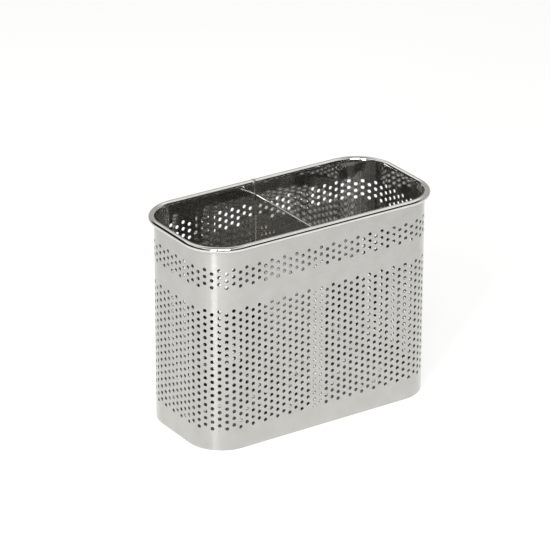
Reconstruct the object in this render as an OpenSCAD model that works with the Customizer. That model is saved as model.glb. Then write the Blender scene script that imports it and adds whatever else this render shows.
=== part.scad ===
// Utensil holder of perforated stainless sheet: an upright, open-topped caddy with rounded
// corners, a rolled rim, one cross divider and two hanging hooks behind.
// Millimetres. X runs left to right, Y from front to back, Z up. The origin is on the floor,
// under the middle of the whole object, hooks included.

/* [Body] */
// Outside length of the wall, left to right
body_length = 169.5; // [120:0.5:220]
// Outside width of the wall, front to back
body_width = 79; // [60:0.5:110]
// Height from the floor to the top of the rim
body_height = 136.5; // [135:0.5:170]
// Outside radius of the upright corners
corner_radius = 23.5; // [15:0.5:29]
// Thickness of the wall sheet
sheet = 0.6; // [0.4:0.1:1.2]

/* [Perforation] */
// Diameter of the punched holes
hole_diameter = 2.4; // [1:0.1:2.8]
// Height from one hole to the next in a column
row_pitch = 4.5; // [4:0.1:6]
// Distance along the sheet from one column to the next
column_pitch = 4.5; // [4.2:0.1:6]
// Height of the lowest hole centre
first_row_height = 14.8; // [10:0.1:30]
// Rows in the tall lower band
lower_rows = 18; // [4:1:18]
// Rows left out between the two bands
blank_rows = 3; // [1:1:6]
// Rows in the narrow upper band
upper_rows = 3; // [1:1:3]
// Columns counted each way from the middle of the front
side_columns = 50; // [30:1:52]
// How far the hole pattern, the seam and the hooks sit off the middle, along the sheet
pattern_shift = 0.75; // [-2:0.25:2]

/* [Rim] */
// Outside diameter of the rolled rim
rim_diameter = 4; // [3:0.1:6]
// Clearance of the wire inside the rolled rim, all round
wire_clearance = 0.15; // [0.05:0.05:0.4]
// Angle that the roll leaves open at its lower inner side, down from the wall's top edge
rim_mouth = 50; // [40:1:80]

/* [Base] */
// Height of the base's upper face above the floor
base_height = 3.2; // [2:0.1:10]
// Thickness of the base sheet
base_sheet = 0.7; // [0.5:0.1:1.5]
// Height of the turned-up edge of the base, from its upper face
base_flange = 5.2; // [3:0.1:9]
// Outside radius of the bend at the foot of the turned-up edge
base_bend = 2; // [1:0.1:2.5]
// How much rounder the base's corners are than the inside of the wall
base_corner_relief = 0.8; // [0.3:0.1:2]
// Diameter of the drain holes
drain_diameter = 4; // [2:0.5:8]
// Distance between drain holes
drain_pitch = 12; // [9:0.5:25]
// Drain holes across the base, front to back
drain_rows = 5; // [1:1:5]
// Drain holes along each half of the base
drain_columns = 6; // [1:1:6]

/* [Divider] */
// Thickness of the divider sheet
divider_sheet = 0.6; // [0.4:0.1:1.2]
// Distance from the rim's top down to the divider's top edge
divider_drop = 9.5; // [4:0.1:20]
// Length of the hem that is folded down along the top edge
divider_hem = 4; // [2:0.5:10]
// Thickness over the folded hem
hem_thickness = 2.2; // [1.8:0.1:4]
// Width of the fixing flanges at the divider's two ends
divider_flange = 11.2; // [4:0.1:14]
// Distance from the divider's top edge down to the top of its flanges
flange_drop = 13.8; // [6:0.1:30]
// Outside radius of the bend between the divider and its flanges
divider_bend = 1.6; // [1:0.1:4]
// Gap from the divider's bottom edge to the base
divider_floor_gap = 0.6; // [0.2:0.1:6]
// Gap between the divider's plain top corners and the wall
divider_wall_gap = 0.8; // [0.3:0.1:3]
// Height of the relief slit between a flange's bend and the plain strip above it
relief_slit = 0.5; // [0.2:0.1:2]
// Distance from the divider's top edge to its highest holes
divider_plain_top = 17.7; // [12:0.1:40]
// Rows of holes in the divider
divider_rows = 20; // [4:1:20]
// Columns of holes in the divider
divider_columns = 15; // [3:2:15]

/* [Hooks] */
// Width of each hook strap
hook_width = 13; // [8:0.5:20]
// Thickness of the hook straps
hook_sheet = 1.2; // [0.8:0.1:2]
// Distance between the middles of the two hooks
hook_spacing = 72.4; // [40:0.1:110]
// Clear slot between a hook's tongue and its fixed leg
hook_slot = 3; // [3:0.5:12]
// Distance from the rim's top down to the top of the hooks
hook_drop = 11.5; // [8:0.5:25]
// Length of the leg that is fixed to the wall, from the hook's top
hook_leg = 27; // [15:1:60]
// Length of the free tongue, from the hook's top
hook_tongue = 17; // [10:1:60]
// Inside radius of the two upper bends
hook_bend = 1.25; // [0.75:0.25:1.25]
// Radius of the rounded lower corners of the tongue
hook_corner = 3; // [1:0.5:5]

/* [Seam] */
// Gap between the two butted ends of the wall sheet
seam_gap = 0.5; // [0.2:0.1:1]
// Width of the weld's crown on the outside
seam_crown = 1.4; // [0.8:0.1:3]
// Height of the weld's crown above the sheet
seam_rise = 0.15; // [0.05:0.05:0.4]
// Gap between the top of the weld's crown and the underside of the rim
seam_rim_gap = 0.45; // [0.2:0.05:1]

/* [Hidden] */
$fn = 48;
tiny = 0.01;
half_length = body_length / 2;
half_width = body_width / 2;
flat_length = body_length - 2 * corner_radius;
flat_width = body_width - 2 * corner_radius;
// The corner columns are laid out on the sheet's outer face
corner_arc = corner_radius * PI / 2;
upper_first = first_row_height + (lower_rows + blank_rows) * row_pitch;
rim_radius = rim_diameter / 2;
rim_z = body_height - rim_radius;
// The roll starts flush on the wall's top edge and turns outwards
rim_out = rim_radius - sheet;
wall_top = rim_z;
wire_radius = rim_radius - sheet - wire_clearance;
inner_length = body_length - 2 * sheet;
inner_width = body_width - 2 * sheet;
base_radius = corner_radius - sheet + base_corner_relief;
divider_top = body_height - divider_drop;
flange_top = divider_top - flange_drop;
divider_foot = base_height + divider_floor_gap;
hem_radius = hem_thickness / 2;
hook_outer_bend = hook_bend + hook_sheet;
hook_top = body_height - hook_drop;
hook_depth = hook_slot + 2 * hook_sheet;
hook_back = half_width + hook_depth;
rim_front = half_width + rim_out + rim_radius;
// The hooks reach further back than the rim reaches forward
middle_shift = -(hook_back - rim_front) / 2;

// Heights of a column's holes: even columns start low, odd ones half a pitch higher
function column_heights(n) =
    let (lift = (abs(n) % 2) * row_pitch / 2)
    concat(
        [for (i = [0 : lower_rows - 1]) first_row_height + i * row_pitch + lift],
        [for (i = [0 : upper_rows - 1]) upper_first + i * row_pitch + lift]
    );

// Distance along the outer face from the middle of the front, to the right
function column_place(n) = n * column_pitch + pattern_shift;

// A rounded rectangle
module rounded_outline(length, width, radius) {
    square([length - 2 * radius, width], center = true);
    square([length, width - 2 * radius], center = true);
    for (sx = [-1, 1], sy = [-1, 1])
        translate([sx * (length / 2 - radius), sy * (width / 2 - radius)])
            circle(r = radius);
}

// Carries a profile round a rounded rectangle. The profile lies in X (outwards from the
// rectangle's edge) and Y (height).
module sweep_round(length, width, radius) {
    run = length - 2 * radius;
    side = width - 2 * radius;
    for (k = [0 : 3]) {
        sx = (k == 0 || k == 3) ? 1 : -1;
        sy = (k < 2) ? 1 : -1;
        translate([sx * run / 2, sy * side / 2, 0])
            rotate([0, 0, 90 * k])
                rotate_extrude(angle = 90)
                    translate([radius, 0])
                        children();
    }
    for (s = [0, 1]) {
        rotate([0, 0, 180 * s])
            translate([run / 2, -width / 2, 0])
                rotate([90, 0, -90])
                    linear_extrude(height = run)
                        children();
        rotate([0, 0, 180 * s])
            translate([length / 2, side / 2, 0])
                rotate([90, 0, 0])
                    linear_extrude(height = side)
                        children();
    }
}

// Carries a hole's cutter to its place along the outer face, counted from the middle of the
// front. On a flat it is square to the sheet, and on a corner it points at the corner's middle.
module at_place(place) {
    front_end = flat_length / 2;
    side_start = front_end + corner_arc;
    side_end = side_start + flat_width;
    rear_start = side_end + corner_arc;
    side = place < 0 ? -1 : 1;
    run = abs(place);
    turn = 90 - 90 * side;
    if (run < front_end)
        translate([place, -half_width, 0])
            rotate([0, 0, -90])
                children();
    else if (run < side_start)
        translate([side * front_end, -flat_width / 2, 0])
            rotate([0, 0, -90 + side * 90 * (run - front_end) / corner_arc])
                translate([corner_radius, 0, 0])
                    children();
    else if (run < side_end)
        translate([side * half_length, run - (side_start + side_end) / 2, 0])
            rotate([0, 0, turn])
                children();
    else if (run < rear_start)
        translate([side * front_end, flat_width / 2, 0])
            rotate([0, 0, turn + side * 90 * (run - side_end) / corner_arc])
                translate([corner_radius, 0, 0])
                    children();
    else
        translate([side * (front_end + rear_start - run), half_width, 0])
            rotate([0, 0, 90])
                children();
}

// The perforated wall: one sheet bent round, its ends butted near the middle of the back
module wall_sheet() {
    color([0.78, 0.78, 0.76])
        translate([0, middle_shift, 0])
            difference() {
                linear_extrude(height = wall_top)
                    difference() {
                        rounded_outline(body_length, body_width, corner_radius);
                        rounded_outline(inner_length, inner_width, corner_radius - sheet);
                        translate([-pattern_shift - seam_gap / 2, half_width - 2 * sheet])
                            square([seam_gap, 3 * sheet]);
                    }
                for (n = [-side_columns : side_columns], h = column_heights(n))
                    at_place(column_place(n))
                        translate([-3 * sheet, 0, h])
                            rotate([0, 90, 0])
                                cylinder(d = hole_diameter, h = 5 * sheet);
            }
}

// Section of the rolled rim. It starts square on the wall's top edge, turns over outwards and
// stops just short of the wall, which leaves a narrow dark line below the roll.
module rim_section() {
    far = rim_diameter;
    translate([rim_out, rim_z])
        difference() {
            circle(r = rim_radius);
            circle(r = rim_radius - sheet);
            polygon([
                [0, 0],
                [-far, 0],
                [-far, -far],
                [-far / tan(rim_mouth), -far]
            ]);
        }
}

// The rolled rim along the top edge
module rolled_rim() {
    color([0.86, 0.86, 0.85])
        translate([0, middle_shift, 0])
            sweep_round(body_length, body_width, corner_radius)
                rim_section();
}

// The wire that stiffens the rim, inside the roll
module rim_wire() {
    color([0.6, 0.6, 0.6])
        translate([0, middle_shift, 0])
            sweep_round(body_length, body_width, corner_radius)
                translate([rim_out, rim_z])
                    circle(r = wire_radius);
}

// A quarter of a bend in flat section: from the +X side round to the +Y side
module bend_section(outside, thickness) {
    difference() {
        circle(r = outside);
        circle(r = outside - thickness);
        translate([-2 * outside, -2 * outside])
            square([4 * outside, 2 * outside]);
        translate([-2 * outside, -tiny])
            square([2 * outside, 4 * outside]);
    }
}

// Section of the base's turned-up edge: X outwards from the wall's inner face, Y up
module base_edge_section() {
    low = base_height - base_sheet;
    translate([-base_bend, low + base_bend])
        rotate([0, 0, -90])
            bend_section(base_bend, base_sheet);
    translate([-base_sheet, low + base_bend])
        square([base_sheet, base_flange + base_sheet - base_bend]);
}

// The base: a shallow pan set just above the floor, its edge turned up against the wall
module base_pan() {
    low = base_height - base_sheet;
    color([0.74, 0.74, 0.72])
        translate([0, middle_shift, 0]) {
            sweep_round(inner_length, inner_width, base_radius)
                base_edge_section();
            translate([0, 0, low])
                linear_extrude(height = base_sheet)
                    difference() {
                        rounded_outline(inner_length - 2 * base_bend,
                                        inner_width - 2 * base_bend,
                                        base_radius - base_bend);
                        for (s = [-1, 1], i = [0 : drain_columns - 1], j = [0 : drain_rows - 1])
                            translate([s * (i + 0.75) * drain_pitch,
                                       (j - (drain_rows - 1) / 2) * drain_pitch])
                                circle(d = drain_diameter);
                    }
        }
}

// The divider's web, flat: X runs front to back, Y up
module web_outline() {
    reach = inner_width / 2 - divider_bend;
    wide = inner_width / 2 - divider_wall_gap;
    web_top = divider_top - hem_radius;
    translate([-reach, divider_foot])
        square([2 * reach, web_top - divider_foot]);
    translate([-wide, flange_top + relief_slit])
        square([2 * wide, web_top - flange_top - relief_slit]);
}

// The hem along the divider's top: folded over to the right, with an open loop
module hem_section() {
    translate([hem_radius - divider_sheet / 2, divider_top - hem_radius]) {
        bend_section(hem_radius, divider_sheet);
        rotate([0, 0, 90])
            bend_section(hem_radius, divider_sheet);
        translate([hem_radius - divider_sheet, -divider_hem])
            square([divider_sheet, divider_hem]);
    }
}

// Plan section of one of the divider's end flanges, turned to the left against the wall
module flange_section() {
    edge = divider_sheet / 2;
    translate([edge - divider_bend, inner_width / 2 - divider_bend])
        bend_section(divider_bend, divider_sheet);
    translate([edge - divider_flange, inner_width / 2 - divider_sheet])
        square([divider_flange - divider_bend, divider_sheet]);
}

// The cross divider: a channel of perforated sheet with a plain, hemmed top strip
module divider() {
    wide = inner_width / 2 - divider_wall_gap;
    color([0.7, 0.7, 0.68])
        translate([0, middle_shift, 0]) {
            translate([-divider_sheet / 2, 0, 0])
                rotate([90, 0, 90])
                    linear_extrude(height = divider_sheet)
                        difference() {
                            web_outline();
                            for (n = [-(divider_columns - 1) / 2 : (divider_columns - 1) / 2],
                                 i = [0 : divider_rows - 1])
                                translate([n * column_pitch,
                                           divider_top - divider_plain_top
                                           - (i + (abs(n) % 2) / 2) * row_pitch])
                                    circle(d = hole_diameter);
                        }
            translate([0, wide, 0])
                rotate([90, 0, 0])
                    linear_extrude(height = 2 * wide)
                        hem_section();
            for (m = [0, 1])
                mirror([0, m, 0])
                    translate([0, 0, divider_foot])
                        linear_extrude(height = flange_top - divider_foot)
                            flange_section();
        }
}

// A plate with rounded lower corners, hanging down from Y = 0
module hanging_plate(length) {
    difference() {
        translate([-hook_width / 2, -length])
            square([hook_width, length]);
        for (s = [-1, 1])
            translate([s * (hook_width / 2 - hook_corner), -length + hook_corner])
                rotate([0, 0, s > 0 ? -90 : 180])
                    difference() {
                        square(2 * hook_corner);
                        circle(r = hook_corner);
                        translate([-hook_corner, 0])
                            square([hook_corner, 2 * hook_corner]);
                    }
    }
}

// One hanging hook: a leg fixed flat on the back of the wall, a top and a free tongue
module hook() {
    drop = hook_outer_bend;
    color([0.8, 0.8, 0.79])
        translate([0, half_width + middle_shift, hook_top]) {
            translate([0, hook_sheet, -drop])
                rotate([90, 0, 0])
                    linear_extrude(height = hook_sheet)
                        hanging_plate(hook_leg - drop);
            translate([0, hook_depth, -drop])
                rotate([90, 0, 0])
                    linear_extrude(height = hook_sheet)
                        hanging_plate(hook_tongue - drop);
            translate([-hook_width / 2, 0, 0])
                rotate([90, 0, 90])
                    linear_extrude(height = hook_width) {
                        translate([hook_outer_bend, -hook_outer_bend])
                            rotate([0, 0, 90])
                                bend_section(hook_outer_bend, hook_sheet);
                        translate([hook_depth - hook_outer_bend, -hook_outer_bend])
                            bend_section(hook_outer_bend, hook_sheet);
                        translate([hook_outer_bend, -hook_sheet])
                            square([hook_depth - 2 * hook_outer_bend, hook_sheet]);
                    }
        }
}

// The hook behind the left compartment
module hook_left() {
    translate([-pattern_shift - hook_spacing / 2, 0, 0])
        hook();
}

// The hook behind the right compartment
module hook_right() {
    translate([-pattern_shift + hook_spacing / 2, 0, 0])
        hook();
}

// The upright weld that joins the two ends of the wall sheet at the back
module seam_weld() {
    crown_top = body_height - rim_diameter - seam_rim_gap;
    crown_radius = (pow(seam_crown / 2, 2) + pow(seam_rise, 2)) / (2 * seam_rise);
    color([0.66, 0.66, 0.64])
        translate([-pattern_shift, half_width + middle_shift, 0]) {
            translate([-seam_gap / 2, -sheet, 0])
                cube([seam_gap, sheet, wall_top]);
            linear_extrude(height = crown_top)
                intersection() {
                    translate([0, seam_rise - crown_radius])
                        circle(r = crown_radius);
                    translate([-seam_crown, 0])
                        square([2 * seam_crown, seam_crown]);
                }
        }
}

wall_sheet();
rolled_rim();
rim_wire();
base_pan();
divider();
hook_left();
hook_right();
seam_weld();
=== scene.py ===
"""Perforated stainless steel utensil holder with a middle wall, dressed for a studio picture.

The solids come from the frame: x runs along the holder, y from its front to the wall that
it hangs on, and z up. Lengths are in metres, except where a name says mm. Every finish is a
procedural stainless steel, and the marks of its making that are too small for the solids
are pieces of their own.
"""

import logging
import math
from dataclasses import dataclass, field
from enum import Enum
from typing import Any

import bpy
import numpy as np
from mathutils import Matrix, Vector


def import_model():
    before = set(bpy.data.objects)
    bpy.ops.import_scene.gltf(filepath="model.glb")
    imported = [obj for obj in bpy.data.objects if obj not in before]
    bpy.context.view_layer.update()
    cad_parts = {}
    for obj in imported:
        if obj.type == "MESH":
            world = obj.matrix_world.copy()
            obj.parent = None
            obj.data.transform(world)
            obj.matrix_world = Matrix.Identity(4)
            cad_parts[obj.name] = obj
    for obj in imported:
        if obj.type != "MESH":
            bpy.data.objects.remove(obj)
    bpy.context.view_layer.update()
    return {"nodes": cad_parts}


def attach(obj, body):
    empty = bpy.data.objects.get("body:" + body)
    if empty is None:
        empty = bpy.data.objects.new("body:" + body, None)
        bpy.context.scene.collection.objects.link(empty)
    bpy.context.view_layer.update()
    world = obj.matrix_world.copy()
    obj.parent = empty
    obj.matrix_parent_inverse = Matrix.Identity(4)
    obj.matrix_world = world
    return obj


frame: dict[str, Any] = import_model()

MM = 0.001
BODY = "root"
WHITE = "#ffffff"
BLACK = "#000000"

# The sRGB curve: a straight foot, and a power above it.
FOOT_END = 0.04045
FOOT_SLOPE = 12.92
CURVE_OFFSET = 0.055
CURVE_POWER = 2.4

# The wall's plan: its middle lies 1 mm towards the front, its corners turn about these centres,
# and the middle of its 0.6 mm sheet lies 23.2 mm from them. The last number is above the whole
# wall, so that a place's height never counts.
MIDDLE_Y = -1.0 * MM
CORNER_CENTRE = (61.25 * MM, 16.0 * MM, 1.0)
SHEET_RADIUS = 23.2 * MM
# The heights between which the sheet begins to turn out into its roll.
FLARE_BAND = (119.5 * MM, 133.5 * MM)

# Noise stays near a half, so each use of it takes only the part from the first to the last value.
LINE_BAND = (0.3, 0.7)
CLOUD_BAND = (0.35, 0.65)
STAIN_BAND = (0.62, 0.8)
# The size of the clouds in the tone, as a share of the sheet's waves.
CLOUD_SHARE = 0.35
# The part of a turn that sets the widest reflection upright, against a tangent round z.
UPRIGHT_TURN = 0.25

Place = tuple[float, float, float]
Feed = bpy.types.NodeSocket | float | tuple[float, ...]

log = logging.getLogger("holder")


class Grain(Enum):
    """The way that a surface's fine lines run, as the squeeze of their noise along x, y and z."""

    ALONG = (0.03, 0.03, 1.0)
    UPRIGHT = (1.0, 1.0, 0.03)
    NONE = (1.0, 1.0, 1.0)


class Blend(Enum):
    """What a Mix node blends, and the numbers of its first input, its second and its output."""

    NUMBER = ("FLOAT", 2, 3, 0)
    COLOUR = ("RGBA", 6, 7, 2)


def linear(colour: str) -> tuple[float, float, float, float]:
    """Turns an sRGB hex colour to linear light.

    Args:
        colour: The colour as "#rrggbb".

    Returns:
        Red, green, blue and an alpha of 1.
    """
    parts = np.array([int(colour[i : i + 2], 16) / 255 for i in (1, 3, 5)])
    above = ((parts + CURVE_OFFSET) / (1 + CURVE_OFFSET)) ** CURVE_POWER
    light = np.where(parts <= FOOT_END, parts / FOOT_SLOPE, above)
    return (float(light[0]), float(light[1]), float(light[2]), 1.0)


def add(
    tree: bpy.types.NodeTree, kind: str, links: dict[str | int, Any] | None = None, **settings: Any
) -> bpy.types.Node:
    """Adds a shader node with its settings, values and links.

    Args:
        tree: The node tree.
        kind: The node's type, without the words ShaderNode.
        links: An input's name or number to a value, or to the output that feeds it.
        **settings: The node's own properties.

    Returns:
        The new node.
    """
    node = tree.nodes.new("ShaderNode" + kind)
    for name, value in settings.items():
        setattr(node, name, value)
    for name, value in (links or {}).items():
        if isinstance(value, bpy.types.NodeSocket):
            tree.links.new(value, node.inputs[name])
        else:
            node.inputs[name].default_value = value
    return node


def maths(
    tree: bpy.types.NodeTree, operation: str, first: Feed, second: Feed
) -> bpy.types.NodeSocket:
    """Works one number out of two."""
    return add(tree, "Math", {0: first, 1: second}, operation=operation).outputs[0]


def vector_maths(
    tree: bpy.types.NodeTree, operation: str, first: Feed, second: Feed = (0.0, 0.0, 0.0)
) -> bpy.types.NodeSocket:
    """Works out one step on vectors.

    Args:
        tree: The node tree.
        operation: The step, by the node's own name for it.
        first: The first vector.
        second: The second vector, where the step takes one.

    Returns:
        A number for a length or a dot product, and a vector for any other step.
    """
    node = add(tree, "VectorMath", {0: first, 1: second}, operation=operation)
    return node.outputs["Value" if operation in ("LENGTH", "DOT_PRODUCT") else "Vector"]


def mix(
    tree: bpy.types.NodeTree, kind: Blend, factor: Feed, first: Feed, second: Feed
) -> bpy.types.NodeSocket:
    """Blends two numbers or two colours.

    Args:
        tree: The node tree.
        kind: What is blended.
        factor: 0 for the first and 1 for the second.
        first: The first value.
        second: The second value.

    Returns:
        The blend.
    """
    data_type, one, two, result = kind.value
    node = add(tree, "Mix", {"Factor": factor, one: first, two: second}, data_type=data_type)
    return node.outputs[result]


def span(
    tree: bpy.types.NodeTree,
    value: Feed,
    source: tuple[float, float],
    target: tuple[float, float] = (0.0, 1.0),
    **settings: Any,
) -> bpy.types.NodeSocket:
    """Carries a number from one span to another, and holds it at the ends.

    Args:
        tree: The node tree.
        value: The number.
        source: Where the first span starts and ends.
        target: Where the second span starts and ends.
        **settings: The node's own properties.

    Returns:
        The new number.
    """
    sides = {"From Min": source[0], "From Max": source[1], "To Min": target[0], "To Max": target[1]}
    return add(tree, "MapRange", {"Value": value, **sides}, **settings).outputs["Result"]


def ramp(
    tree: bpy.types.NodeTree, factor: bpy.types.NodeSocket, stops: dict[float, str]
) -> bpy.types.NodeSocket:
    """Turns a factor into a colour.

    Args:
        tree: The node tree.
        factor: The output that drives the ramp.
        stops: A place from 0 to 1, to the colour there.

    Returns:
        The ramp's colour output.
    """
    node = add(tree, "ValToRGB", {"Fac": factor})
    elements = node.color_ramp.elements
    for element in list(elements)[1:]:
        elements.remove(element)
    for number, (place, colour) in enumerate(sorted(stops.items())):
        element = elements[0] if number == 0 else elements.new(place)
        element.position = place
        element.color = linear(colour)
    return node.outputs["Color"]


def noise(
    tree: bpy.types.NodeTree,
    place: bpy.types.NodeSocket,
    size_mm: float,
    detail: float,
    harshness: float = 0.5,
) -> bpy.types.NodeSocket:
    """Fills space with noise.

    Args:
        tree: The node tree.
        place: The place that it is read at.
        size_mm: How large its lumps are.
        detail: How many finer layers it has.
        harshness: How much of its strength each finer layer keeps.

    Returns:
        The noise, from 0 to 1.
    """
    sizes = {"Scale": 1 / (size_mm * MM), "Detail": detail, "Roughness": harshness}
    return add(tree, "TexNoise", {"Vector": place, **sizes}).outputs["Fac"]


def bump(
    tree: bpy.types.NodeTree,
    height: bpy.types.NodeSocket,
    depth: float,
    below: bpy.types.NodeSocket | None = None,
) -> bpy.types.NodeSocket:
    """Tips the shading as a relief would.

    Args:
        tree: The node tree.
        height: The relief's height, as a share of its depth.
        depth: The relief's depth.
        below: The normal that it lies on, or none for the surface's own.

    Returns:
        The tipped normal.
    """
    links: dict[str | int, Any] = {"Height": height, "Distance": depth, "Strength": 1.0}
    if below is not None:
        links["Normal"] = below
    return add(tree, "Bump", links).outputs["Normal"]


@dataclass(frozen=True)
class InnerFace:
    """What sets the wall's inner face apart: a darker tone that is painted shade, and a closer
    mirror, which tips outward near the rim.
    """

    tone: str
    roughness: float
    flare_mm: float

    def mask(self, tree: bpy.types.NodeTree, place: bpy.types.NodeSocket) -> bpy.types.NodeSocket:
        """Tells the wall's inner face from its outer one, by a place's depth in the sheet.

        The depth is the place's distance from the rounded rectangle that the corner centres
        make, next to the radius of the sheet's middle.

        Args:
            tree: The node tree.
            place: The object coordinates.

        Returns:
            1 on the inner face and 0 on the outer one.
        """
        moved = vector_maths(tree, "ADD", place, (0.0, -MIDDLE_Y, 0.0))
        folded = vector_maths(tree, "ABSOLUTE", moved)
        past = vector_maths(tree, "SUBTRACT", folded, CORNER_CENTRE)
        held = vector_maths(tree, "MAXIMUM", past, (0.0, 0.0, 0.0))
        return maths(tree, "LESS_THAN", vector_maths(tree, "LENGTH", held), SHEET_RADIUS)

    def flare(
        self,
        tree: bpy.types.NodeTree,
        place: bpy.types.NodeSocket,
        mask: bpy.types.NodeSocket,
    ) -> bpy.types.NodeSocket:
        """Works out how far the inner face falls back on its way up into the roll.

        The fall grows with the square of the height in the flare's band.

        Args:
            tree: The node tree.
            place: The object coordinates.
            mask: 1 on the inner face and 0 on the outer one.

        Returns:
            The fall in metres, as a height below zero.
        """
        up = add(tree, "SeparateXYZ", {"Vector": place}).outputs["Z"]
        bent = maths(tree, "POWER", span(tree, up, FLARE_BAND), 2.0)
        return maths(tree, "MULTIPLY", maths(tree, "MULTIPLY", bent, mask), -self.flare_mm * MM)


@dataclass(frozen=True)
class Steel:
    """A stainless steel finish: its tone, its gloss, its grain and how flat it lies."""

    name: str
    tone: str
    shade: str
    roughness: float
    roughness_spread: float
    grain: Grain = Grain.ALONG
    line_mm: float = 0.5
    line_depth_mm: float = 0.002
    wave_mm: float = 30.0
    wave_depth_mm: float = 0.05
    stain: str = "#b8b2a8"
    stain_share: float = 0.1
    upright_spread: float = 0.0
    inner: InnerFace | None = None

    def colour(
        self,
        tree: bpy.types.NodeTree,
        place: bpy.types.NodeSocket,
        waves: bpy.types.NodeSocket,
    ) -> bpy.types.NodeSocket:
        """Clouds the tone towards the shade, and towards the stain in a few spots.

        Args:
            tree: The node tree.
            place: The object coordinates.
            waves: The noise of the sheet's waves, which also places the spots.

        Returns:
            The colour.
        """
        clouds = noise(tree, place, self.wave_mm * CLOUD_SHARE, detail=5.0)
        tone = ramp(tree, clouds, dict(zip(CLOUD_BAND, (self.shade, self.tone))))
        spots = span(tree, waves, STAIN_BAND, (0.0, self.stain_share))
        return mix(tree, Blend.COLOUR, spots, tone, linear(self.stain))

    def material(self) -> bpy.types.Material:
        """Builds the finish as a node material.

        Roughness follows the grain's lines. Two bumps add up: slow waves of the sheet, and
        the fine lines of the rolls or the brush. An inner face has a third between them.

        Returns:
            The material.
        """
        made = bpy.data.materials.new(self.name)
        made.use_nodes = True
        tree = made.node_tree
        tree.nodes.clear()
        place = add(tree, "TexCoord").outputs["Object"]
        squeezed = add(tree, "Mapping", {"Vector": place, "Scale": self.grain.value})
        lines = noise(tree, squeezed.outputs["Vector"], self.line_mm, detail=4.0, harshness=0.6)
        waves = noise(tree, place, self.wave_mm, detail=2.0)
        colour = self.colour(tree, place, waves)
        low = self.roughness - self.roughness_spread
        high = self.roughness + self.roughness_spread
        gloss = span(tree, lines, LINE_BAND, (low, high))
        spread: Feed = self.upright_spread
        normal = bump(tree, waves, self.wave_depth_mm * MM)
        if self.inner is not None:
            mask = self.inner.mask(tree, place)
            # The inner face's darker tone is painted shade: it darkens the holder's inside.
            colour = mix(tree, Blend.COLOUR, mask, colour, linear(self.inner.tone))
            gloss = mix(tree, Blend.NUMBER, mask, gloss, self.inner.roughness)
            spread = mix(tree, Blend.NUMBER, mask, spread, 0.0)
            fall = self.inner.flare(tree, place, mask)
            normal = bump(tree, fall, depth=1.0, below=normal)
        normal = bump(tree, lines, self.line_depth_mm * MM, below=normal)
        shader = add(
            tree,
            "BsdfPrincipled",
            {
                "Base Color": colour,
                "Metallic": 1.0,
                "Roughness": gloss,
                "Normal": normal,
                "Anisotropic": spread,
                "Anisotropic Rotation": UPRIGHT_TURN,
            },
        )
        if self.upright_spread:
            around = add(tree, "Tangent", direction_type="RADIAL", axis="Z")
            tree.links.new(around.outputs["Tangent"], shader.inputs["Tangent"])
        add(tree, "OutputMaterial", {"Surface": shader.outputs["BSDF"]})
        return made


# Bright-rolled sheet, punched. Outside, its fine scratches draw each reflection out upright, so
# the flat sides look an even warm grey and a corner shows one bright line. Inside it mirrors, and
# its darker inner tone is painted shade for the holder's inside.
PUNCHED_SHEET = Steel(
    "stainless_bright_punched_sheet",
    tone="#bab9b6",
    shade="#b5b4b0",
    roughness=0.19,
    roughness_spread=0.03,
    line_depth_mm=0.0003,
    upright_spread=0.85,
    inner=InnerFace(tone="#aaa9a5", roughness=0.08, flare_mm=0.48),
)
# The rim is rolled round a wire and buffed, so it mirrors the room in sharp lines.
BUFFED_RIM = Steel(
    "stainless_buffed_rim",
    tone="#d6d5d2",
    shade="#cfceca",
    roughness=0.06,
    roughness_spread=0.02,
    line_depth_mm=0.0003,
    wave_mm=12.0,
    wave_depth_mm=0.01,
)
# Bright drawn wire is a soft glint that shows only through the mouth of the roll.
DRAWN_WIRE = Steel(
    "stainless_bright_wire",
    tone="#c3c1bd",
    shade="#b7b5b0",
    roughness=0.2,
    roughness_spread=0.05,
    wave_mm=15.0,
)
# The press leaves the base a little duller than the wall, with softer reflections.
PRESSED_BASE = Steel(
    "stainless_2b_pressed_base",
    tone="#bab9b5",
    shade="#aeaca7",
    roughness=0.2,
    roughness_spread=0.05,
)
# The middle wall mirrors the wall's holes, and its faint rolling lines stand upright.
MIDDLE_SHEET = Steel(
    "stainless_bright_middle_sheet",
    tone="#b4b3af",
    shade="#aaa9a4",
    roughness=0.08,
    roughness_spread=0.02,
    grain=Grain.UPRIGHT,
    line_depth_mm=0.0004,
)
# The hooks are tumbled to take their edges off, so they look more even, with no lines.
TUMBLED_HOOK = Steel(
    "stainless_tumbled_hook",
    tone="#b7b5b0",
    shade="#aba8a3",
    roughness=0.17,
    roughness_spread=0.04,
    grain=Grain.NONE,
    line_mm=0.3,
)
# A cleaned weld is darker and duller than the sheet, with a straw tint left in it.
CLEANED_WELD = Steel(
    "stainless_cleaned_weld",
    tone="#aba79e",
    shade="#95918a",
    roughness=0.33,
    roughness_spread=0.08,
    grain=Grain.NONE,
    line_mm=0.4,
    line_depth_mm=0.02,
    stain="#a8977a",
    stain_share=0.4,
)
# The round dish that an electrode presses is satin, and faintly straw in spots.
SPOT_MARK = Steel(
    "stainless_spot_weld_mark",
    tone="#b5b0a6",
    shade="#a39c8f",
    roughness=0.24,
    roughness_spread=0.06,
    grain=Grain.NONE,
    line_depth_mm=0.004,
    stain="#9a8a6c",
    stain_share=0.3,
)

NODE_FINISH: dict[str, Steel] = {
    "wall_sheet": PUNCHED_SHEET,
    "rolled_rim": BUFFED_RIM,
    "rim_wire": DRAWN_WIRE,
    "base_pan": PRESSED_BASE,
    "divider": MIDDLE_SHEET,
    "hook_left": TUMBLED_HOOK,
    "hook_right": TUMBLED_HOOK,
    "seam_weld": CLEANED_WELD,
}


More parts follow.
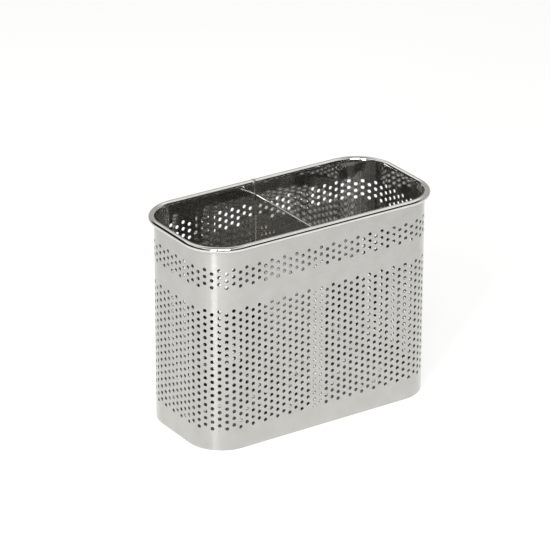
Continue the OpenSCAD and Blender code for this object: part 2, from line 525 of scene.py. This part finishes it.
@dataclass(frozen=True)
class SolidNodes:
    """The solids that came with the frame, each with its steel."""

    finishes: dict[str, Steel] = field(default_factory=lambda: dict(NODE_FINISH))

    def dress(self) -> None:
        """Gives each solid its finish."""
        ready: dict[str, bpy.types.Material] = {}
        for name, steel in self.finishes.items():
            if steel.name not in ready:
                ready[steel.name] = steel.material()
            node = frame["nodes"][name]
            for place in node.material_slots:
                place.link = "OBJECT"
                place.material = ready[steel.name]
            log.info("%s: %s", name, steel.name)


def new_mesh(name: str, points: np.ndarray, faces: list[list[int]]) -> bpy.types.Object:
    """Puts points and faces into a mesh object with smooth faces.

    Args:
        name: The object's name.
        points: An array of n by 3 places.
        faces: The point numbers of each face, three or four to a face.

    Returns:
        The object, at the origin.
    """
    mesh = bpy.data.meshes.new(name)
    mesh.from_pydata(points.tolist(), [], faces)
    mesh.polygons.foreach_set("use_smooth", np.ones(len(faces), dtype=bool))
    mesh.update()
    made = bpy.data.objects.new(name, mesh)
    bpy.context.scene.collection.objects.link(made)
    return made


def finish_piece(piece: bpy.types.Object, steel: Steel) -> None:
    """Gives a new piece its finish and its body.

    Args:
        piece: The piece.
        steel: The finish.
    """
    ready = bpy.data.materials.get(steel.name) or steel.material()
    piece.data.materials.append(ready)
    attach(piece, BODY)
    log.info("%s: %d faces, %s", piece.name, len(piece.data.polygons), steel.name)


def grid_faces(rows: int, columns: int, closed: bool, start: int = 0) -> np.ndarray:
    """Lists the four-sided faces of a grid of points.

    Args:
        rows: How many rows of points.
        columns: How many points in a row.
        closed: Whether the last point of a row joins its first.
        start: The number of the grid's first point.

    Returns:
        An array of m by 4 point numbers, which run along the row first.
    """
    number = start + np.arange(rows * columns).reshape(rows, columns)
    following = np.roll(number, -1, axis=1)
    if not closed:
        number, following = number[:, :-1], following[:, :-1]
    quads = np.stack([number[:-1], following[:-1], following[1:], number[1:]], axis=-1)
    return quads.reshape(-1, 4)


@dataclass(frozen=True)
class RimJoint:
    """The weld that closes the rolled rim at the back, above the wall's seam.

    Turns are in degrees about the roll's middle, from the back and up. The bead runs from the
    first to the last, and is ground level as far as ground_turn from the top.
    """

    along: float = -0.75 * MM
    behind: float = 39.9 * MM
    height: float = 134.5 * MM
    tube: float = 2.0 * MM
    width: float = 2.4 * MM
    crown: float = 0.22 * MM
    sink: float = 0.01 * MM
    ripple: float = 0.04 * MM
    ripples: float = 26.0
    ripple_bow: float = 1.5
    first_turn: float = -75.0
    last_turn: float = 184.0
    ground_turn: float = 48.0
    rows: int = 17
    columns: int = 105

    def build(self) -> None:
        """Builds the bead as one strip wrapped round the tube.

        Its radius is the tube's, plus a dome across the strip that ripples along it. The dome
        is a half circle. It fades out smoothly towards the tube's top, and its edges sink in.
        """
        across = np.linspace(-1.0, 1.0, self.rows)
        turn = np.radians(np.linspace(self.first_turn, self.last_turn, self.columns))
        u, v = np.meshgrid(across, turn, indexing="ij")
        dome = np.sqrt(np.clip(1 - u**2, 0, 1))
        from_top = np.clip(np.abs(v - np.pi / 2) / np.radians(self.ground_turn), 0, 1)
        fade = from_top**2 * (3 - 2 * from_top)
        wave = np.sin(self.ripples * v + self.ripple_bow * u**2)
        lift = dome * fade * (self.crown + self.ripple * wave)
        radius = self.tube - self.sink + lift
        points = np.stack(
            [
                self.along + u * self.width / 2,
                self.behind + radius * np.cos(v),
                self.height + radius * np.sin(v),
            ],
            axis=-1,
        ).reshape(-1, 3)
        faces = grid_faces(self.rows, self.columns, closed=False)
        finish_piece(new_mesh("rim_joint_weld", points, faces.tolist()), CLEANED_WELD)


@dataclass(frozen=True)
class SpotWelds:
    """A group of round spot-weld marks on flat faces that look along y.

    Each place holds a middle in millimetres and the side that the face looks to: 1 for the
    back and -1 for the front. The parts of a mark that aren't in mm are shares of its radius.
    """

    name: str
    slot: str
    places: tuple[tuple[float, float, float, int], ...]
    radius_mm: float = 1.6
    dish_mm: float = 0.02
    hub: float = 0.12
    crest_mm: float = 0.07
    crest_at: float = 0.7
    crest_width: float = 0.16
    sink_mm: float = 0.05
    sink_from: float = 0.85
    rings: int = 9
    spokes: int = 28

    def mark(self, x: float, y: float, z: float, side: int) -> np.ndarray:
        """Works out one mark: a flat dish inside a raised ring, its edge sunk in the face.

        The ring is a bell curve of the distance from the middle, and the edge falls straight.

        Args:
            x: The middle's place along the holder, in millimetres.
            y: The middle's place from front to back.
            z: The middle's height.
            side: The side that the face looks to.

        Returns:
            The points in metres, ring by ring, and the middle one last.
        """
        share = np.linspace(self.hub, 1.0, self.rings)
        turn = np.linspace(0.0, 2 * np.pi, self.spokes, endpoint=False)
        r, t = np.meshgrid(share, turn, indexing="ij")
        crest = self.crest_mm * np.exp(-(((r - self.crest_at) / self.crest_width) ** 2))
        fall = self.sink_mm * np.clip((r - self.sink_from) / (1 - self.sink_from), 0, 1)
        reach = self.radius_mm * r
        ring = np.stack(
            [
                x + reach * np.cos(t),
                y + side * (self.dish_mm + crest - fall),
                z + reach * np.sin(t),
            ],
            axis=-1,
        ).reshape(-1, 3)
        return np.vstack([ring, [[x, y + side * self.dish_mm, z]]]) * MM

    def build(self) -> None:
        """Builds all the marks of the group as one piece."""
        points: list[np.ndarray] = []
        faces: list[list[int]] = []
        for x, y, z, side in self.places:
            start = sum(len(part) for part in points)
            mark = self.mark(x, y, z, side)
            quads = grid_faces(self.rings, self.spokes, closed=True, start=start)
            first = start + np.arange(self.spokes)
            middle = np.full(self.spokes, start + len(mark) - 1)
            fan = np.stack([middle, np.roll(first, -1), first], axis=-1)
            if side < 0:
                quads, fan = quads[:, ::-1], fan[:, ::-1]
            faces += quads.tolist() + fan.tolist()
            points.append(mark)
        finish_piece(new_mesh(self.name, np.vstack(points), faces), SPOT_MARK)


# Where the spot welds sit, in millimetres: two through each hook's leg and the wall behind it,
# and two on each flange of the middle wall. A flange's face has its place and its side.
HOOK_WELD_X = (-40.15, -33.75, 32.25, 38.65)
HOOK_WELD_Z = 102.5
HOOK_FACE_Y = 39.7
WALL_FACE_Y = 37.9
FLANGE_WELD_X = -6.2
FLANGE_WELD_Z = (12.0, 101.5)
FLANGE_FACES = ((-39.3, 1), (37.3, -1))

SPOT_WELDS = (
    SpotWelds(
        "hook_spot_welds", "hook", tuple((x, HOOK_FACE_Y, HOOK_WELD_Z, 1) for x in HOOK_WELD_X)
    ),
    SpotWelds(
        "wall_spot_welds", "wall", tuple((x, WALL_FACE_Y, HOOK_WELD_Z, -1) for x in HOOK_WELD_X)
    ),
    SpotWelds(
        "divider_spot_welds",
        "divider",
        tuple((FLANGE_WELD_X, y, z, side) for y, side in FLANGE_FACES for z in FLANGE_WELD_Z),
    ),
)


@dataclass(frozen=True)
class Window:
    """A paler patch on the dim walls of the room, round one direction.

    It starts where the cosine of the angle to that direction is edge, and is full at full.
    """

    way: Place
    edge: float
    full: float


@dataclass(frozen=True)
class SoftLamp:
    """A rectangular lamp: its place, the point that it faces, its sides, and its watts."""

    name: str
    place: Place
    aim: Place
    sides: tuple[float, float]
    power: float

    def hang(self) -> None:
        """Hangs the lamp in the scene."""
        data = bpy.data.lights.new(self.name, "AREA")
        data.shape = "RECTANGLE"
        data.size, data.size_y = self.sides
        data.energy = self.power
        lamp = bpy.data.objects.new(self.name, data)
        lamp.location = self.place
        sight = Vector(self.aim) - Vector(self.place)
        lamp.rotation_euler = sight.to_track_quat("-Z", "Y").to_euler()
        bpy.context.scene.collection.objects.link(lamp)


@dataclass(frozen=True)
class Studio:
    """The floor and the light.

    A band is where one colour turns into the next. It is a part of the room's height, from 0
    straight down to 1 straight up, and for the ceiling's panels a part of their noise. The
    table's edge is the distance over which the floor stops mirroring white.
    """

    floor_side: float = 60.0
    floor_colour: str = "#f4f4f3"
    floor_glow: float = 0.55
    near_floor: float = 1.0
    far_floor: float = 0.06
    table_edge: tuple[float, float] = (0.35, 0.8)
    room_strength: float = 1.4
    ceiling: str = WHITE
    ceiling_gap: str = "#c6c5c3"
    panel_scale: float = 3.0
    panel_band: tuple[float, float] = (0.42, 0.58)
    zenith: str = "#8c8b89"
    zenith_band: tuple[float, float] = (0.93, 0.965)
    horizon: str = "#161513"
    horizon_band: tuple[float, float] = (0.76, 0.83)
    window: str = "#a9a8a5"
    windows: tuple[Window, ...] = (
        Window((-0.8, -0.6, 0.0), edge=0.9, full=0.95),
        Window((0.77, 0.64, 0.0), edge=0.2, full=0.5),
    )
    lamps: tuple[SoftLamp, ...] = (
        SoftLamp("key_lamp", (-0.6, -1.4, 1.6), (0.0, 0.0, 0.06), (0.9, 0.9), 34.0),
        SoftLamp("strip_lamp", (-0.96, -0.72, 0.62), (0.0, 0.0, 0.3), (0.22, 1.1), 22.0),
    )

    def floor(self) -> None:
        """Lays the pale floor: it glows white to the camera and keeps part of its shadow.

        Steel mirrors that glow as white near the holder, and as dim past the table's edge.
        """
        half = self.floor_side / 2
        corners = np.array([(-1, -1, 0), (1, -1, 0), (1, 1, 0), (-1, 1, 0)], float) * half
        floor = new_mesh("floor", corners, [[0, 1, 2, 3]])
        made = bpy.data.materials.new("matt_white_floor")
        made.use_nodes = True
        tree = made.node_tree
        tree.nodes.clear()
        matt = add(tree, "BsdfDiffuse", {"Color": linear(self.floor_colour)})
        rays = add(tree, "LightPath").outputs
        reach = vector_maths(tree, "LENGTH", add(tree, "TexCoord").outputs["Object"])
        ends = (self.near_floor, self.far_floor)
        far = span(tree, reach, self.table_edge, ends, interpolation_type="SMOOTHSTEP")
        strength = mix(tree, Blend.NUMBER, rays["Is Glossy Ray"], 1.0, far)
        glow = add(tree, "Emission", {"Color": linear(WHITE), "Strength": strength})
        seen = maths(tree, "MAXIMUM", rays["Is Camera Ray"], rays["Is Glossy Ray"])
        seen = maths(tree, "MAXIMUM", seen, rays["Is Transmission Ray"])
        share = maths(tree, "MULTIPLY", seen, self.floor_glow)
        both = add(tree, "MixShader", {0: share, 1: matt.outputs[0], 2: glow.outputs[0]})
        add(tree, "OutputMaterial", {"Surface": both.outputs["Shader"]})
        floor.data.materials.append(made)

    def walls(self, tree: bpy.types.NodeTree, way: bpy.types.NodeSocket) -> bpy.types.NodeSocket:
        """Colours the room's walls: dim, with paler windows.

        Args:
            tree: The node tree.
            way: The direction into the room.

        Returns:
            The colour.
        """
        side: Feed = 0.0
        for window in self.windows:
            toward = vector_maths(tree, "DOT_PRODUCT", way, window.way)
            lit = span(tree, toward, (window.edge, window.full))
            side = maths(tree, "MAXIMUM", side, lit)
        return mix(tree, Blend.COLOUR, side, linear(self.horizon), linear(self.window))

    def room(self, tree: bpy.types.NodeTree) -> bpy.types.NodeSocket:
        """Colours the room: dim walls, bright ceiling panels over them and a duller zenith.

        Args:
            tree: The node tree.

        Returns:
            The colour in each direction.
        """
        way = add(tree, "TexCoord").outputs["Generated"]
        up = add(tree, "SeparateXYZ", {0: way}).outputs["Z"]
        height = span(tree, up, (-1.0, 1.0))
        low = ramp(tree, height, dict(zip(self.horizon_band, (WHITE, BLACK))))
        high = ramp(tree, height, dict(zip(self.zenith_band, (BLACK, WHITE))))
        panels = add(tree, "TexNoise", {"Scale": self.panel_scale, "Detail": 1.0}).outputs["Fac"]
        lit = ramp(tree, panels, dict(zip(self.panel_band, (self.ceiling_gap, self.ceiling))))
        above = mix(tree, Blend.COLOUR, high, lit, linear(self.zenith))
        return mix(tree, Blend.COLOUR, low, above, self.walls(tree, way))

    def world(self) -> None:
        """Lights the scene with the room, and shows the camera white."""
        world = bpy.data.worlds.new("soft_room")
        bpy.context.scene.world = world
        world.use_nodes = True
        tree = world.node_tree
        tree.nodes.clear()
        light = add(tree, "Background", {"Color": self.room(tree), "Strength": self.room_strength})
        white = add(tree, "Background", {"Color": linear(WHITE), "Strength": 1.0})
        seen = add(tree, "LightPath").outputs["Is Camera Ray"]
        both = add(tree, "MixShader", {0: seen, 1: light.outputs[0], 2: white.outputs[0]})
        add(tree, "OutputWorld", {"Surface": both.outputs["Shader"]})

    def build(self) -> None:
        """Builds the floor, the room's light and the lamps."""
        self.floor()
        self.world()
        for lamp in self.lamps:
            lamp.hang()


@dataclass(frozen=True)
class PhotoCamera:
    """The camera at the photograph's view of the holder, with its angles in degrees."""

    sensor_width: float = 36.0
    lens: float = 220.27
    azimuth: float = -33.578
    elevation: float = 24.245
    roll: float = -0.135
    distance: float = 2.08331
    aim: Place = (-0.010676, 0.0, 0.088521)
    nearest: float = 0.05
    farthest: float = 200.0

    def build(self) -> None:
        """Makes the camera and sets it as the scene's own.

        It looks at the aim point from the distance. The azimuth turns it about z, the
        elevation tips it down and the roll turns it about its line of sight.
        """
        data = bpy.data.cameras.new("photo_camera")
        data.sensor_fit = "HORIZONTAL"
        data.sensor_width = self.sensor_width
        data.lens = self.lens
        data.clip_start = self.nearest
        data.clip_end = self.farthest
        turn = (
            Matrix.Rotation(math.radians(self.azimuth), 4, "Z")
            @ Matrix.Rotation(math.radians(-self.elevation), 4, "X")
            @ Matrix.Rotation(math.radians(self.roll), 4, "Y")
            @ Matrix.Rotation(math.radians(90), 4, "X")
        )
        sight = (turn @ Vector((0.0, 0.0, 1.0, 0.0))).to_3d()
        camera = bpy.data.objects.new("photo_camera", data)
        camera.matrix_world = Matrix.Translation(Vector(self.aim) + sight * self.distance) @ turn
        bpy.context.scene.collection.objects.link(camera)
        bpy.context.scene.camera = camera


def main() -> None:
    """Dresses the solids, adds the small pieces and builds the studio."""
    logging.basicConfig(level=logging.INFO)
    bpy.context.scene.view_settings.view_transform = "Standard"
    SolidNodes().dress()
    RimJoint().build()
    for group in SPOT_WELDS:
        group.build()
    Studio().build()
    PhotoCamera().build()
    bpy.context.view_layer.update()


if __name__ == "__main__":
    main()
